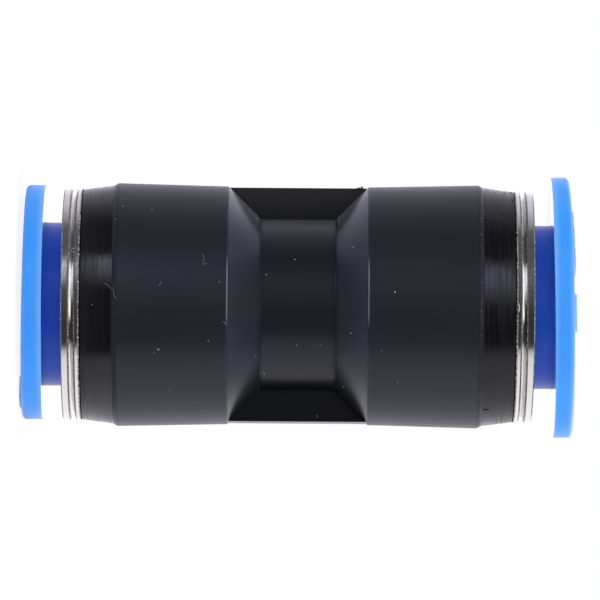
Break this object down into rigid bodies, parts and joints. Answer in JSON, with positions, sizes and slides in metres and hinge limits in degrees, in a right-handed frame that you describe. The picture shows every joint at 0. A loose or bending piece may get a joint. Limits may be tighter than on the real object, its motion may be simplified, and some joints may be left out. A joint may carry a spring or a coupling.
{
  "type": "straight push-in tube connector",
  "caption": "Straight push-in union for round tube: waisted black moulded housing, grooved metal ring and oval blue release sleeve at each end, toothed grip rings and lip seals inside.",
  "frame": {"origin": "middle of the connector's foot, on the surface that it stands on", "axes": "+Z along the tube axis to the upper end; the mould's webs lie in the XZ plane; the upper sleeve's oval is long along X and the lower one's along Y"},
  "size_m": [0.0225, 0.0225, 0.0478],
  "materials": {
    "black_body": "moulded engineering plastic, fine matte on the barrels and glossy on the end bands",
    "nickel": "turned brass with bright nickel plating",
    "claw_steel": "thin stainless spring sheet, as stamped",
    "spacer_plastic": "plain moulded plastic",
    "seal_rubber": "soft black rubber",
    "release_blue": "slightly translucent moulded plastic, satin"
  },
  "bodies": {
    "housing": {"housing": "black_body", "guide_ring_lower": "nickel", "guide_ring_upper": "nickel", "spacer_ring_lower": "spacer_plastic", "spacer_ring_upper": "spacer_plastic", "seal_lower": "seal_rubber", "seal_upper": "seal_rubber"},
    "upper_grip": {"claw_ring_upper": "claw_steel"},
    "upper_release": {"release_sleeve_upper": "release_blue"},
    "lower_grip": {"claw_ring_lower": "claw_steel"},
    "lower_release": {"release_sleeve_lower": "release_blue"}
  },
  "joints": [
    {"name": "upper_turn", "type": "hinge", "parent": "housing", "child": "upper_grip", "pos_m": [0, 0, 0.0375], "axis": [0, 0, 1], "continuous": true},
    {"name": "upper_press", "type": "slide", "parent": "upper_grip", "child": "upper_release", "axis": [0, 0, -1], "range_m": [0, 0.0016]},
    {"name": "lower_turn", "type": "hinge", "parent": "housing", "child": "lower_grip", "pos_m": [0, 0, 0.0103], "axis": [0, 0, 1], "continuous": true},
    {"name": "lower_press", "type": "slide", "parent": "lower_grip", "child": "lower_release", "axis": [0, 0, 1], "range_m": [0, 0.0016]}
  ]
}
